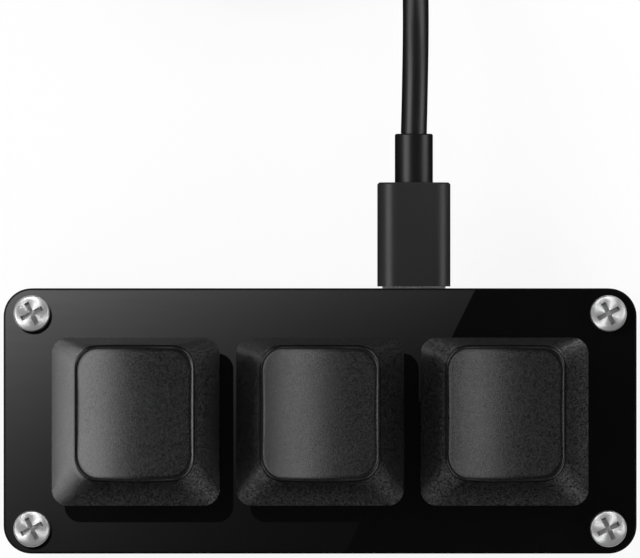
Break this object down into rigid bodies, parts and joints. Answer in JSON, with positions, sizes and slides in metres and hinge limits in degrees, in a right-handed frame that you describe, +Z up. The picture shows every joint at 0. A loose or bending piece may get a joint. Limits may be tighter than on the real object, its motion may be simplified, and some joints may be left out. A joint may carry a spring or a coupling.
{
  "type": "programmable keypad",
  "caption": "Small desk keypad: a low black sandwich case with square push keys in a row, corner screws, rubber feet and a plugged-in cable.",
  "frame": {"origin": "on the table, under the middle of the body", "axes": "+X along the row of keys to the right, +Y to the back where the cable leaves, +Z up"},
  "size_m": [0.0683, 0.1399, 0.029],
  "materials": {
    "gloss_black": "polished black acrylic",
    "case_black": "satin black moulded plastic",
    "keycap_black": "fine-grained matt black",
    "switch_black": "moulded black",
    "stem_brown": "moulded brown",
    "screw_steel": "turned, nickel-plated",
    "shell_steel": "pressed sheet, nickel-plated",
    "brass": "turned or stamped",
    "foot_rubber": "soft matt rubber",
    "board_green": "solder mask",
    "chip_black": "moulded chip case",
    "capacitor_tan": "ceramic",
    "plug_black": "satin moulded plug",
    "cord_black": "smooth satin cord jacket",
    "tie_fabric": "hook-and-loop strap",
    "tongue_white": "moulded white"
  },
  "bodies": {
    "case": {"top_plate": "gloss_black", "case_frame": "case_black", "bottom_plate": "case_black", "standoffs": "brass", "top_screws": "screw_steel", "bottom_screws": "screw_steel", "rubber_feet": "foot_rubber", "circuit_board": "board_green", "microcontroller": "chip_black", "crystal": "shell_steel", "capacitors": "capacitor_tan", "usb_socket_shell": "shell_steel", "usb_socket_tongue": "chip_black", "usb_plug_shell": "shell_steel", "usb_plug_body": "plug_black", "usb_plug_collar": "plug_black", "cord": "cord_black", "cord_coil": "cord_black", "cord_tail": "cord_black", "cord_tie": "tie_fabric", "far_plug_collar": "plug_black", "far_plug_body": "plug_black", "far_plug_shell": "shell_steel", "far_plug_tongue": "tongue_white", "switch_base_1": "switch_black", "switch_cover_1": "switch_black", "switch_spring_1": "shell_steel", "fixed_contact_1": "brass", "contact_leaf_1": "brass", "switch_base_2": "switch_black", "switch_cover_2": "switch_black", "switch_spring_2": "shell_steel", "fixed_contact_2": "brass", "contact_leaf_2": "brass", "switch_base_3": "switch_black", "switch_cover_3": "switch_black", "switch_spring_3": "shell_steel", "fixed_contact_3": "brass", "contact_leaf_3": "brass"},
    "key_1": {"keycap_1": "keycap_black", "key_stem_1": "stem_brown"},
    "key_2": {"keycap_2": "keycap_black", "key_stem_2": "stem_brown"},
    "key_3": {"keycap_3": "keycap_black", "key_stem_3": "stem_brown"}
  },
  "joints": [
    {"name": "key_1_press", "type": "slide", "parent": "case", "child": "key_1", "axis": [0, 0, -1], "range_m": [0, 0.004], "stiffness_N_per_m": 75, "springref_m": -0.004, "deforming": ["switch_spring_1"]},
    {"name": "key_2_press", "type": "slide", "parent": "case", "child": "key_2", "axis": [0, 0, -1], "range_m": [0, 0.004], "stiffness_N_per_m": 75, "springref_m": -0.004, "deforming": ["switch_spring_2"]},
    {"name": "key_3_press", "type": "slide", "parent": "case", "child": "key_3", "axis": [0, 0, -1], "range_m": [0, 0.004], "stiffness_N_per_m": 75, "springref_m": -0.004, "deforming": ["switch_spring_3"]}
  ]
}
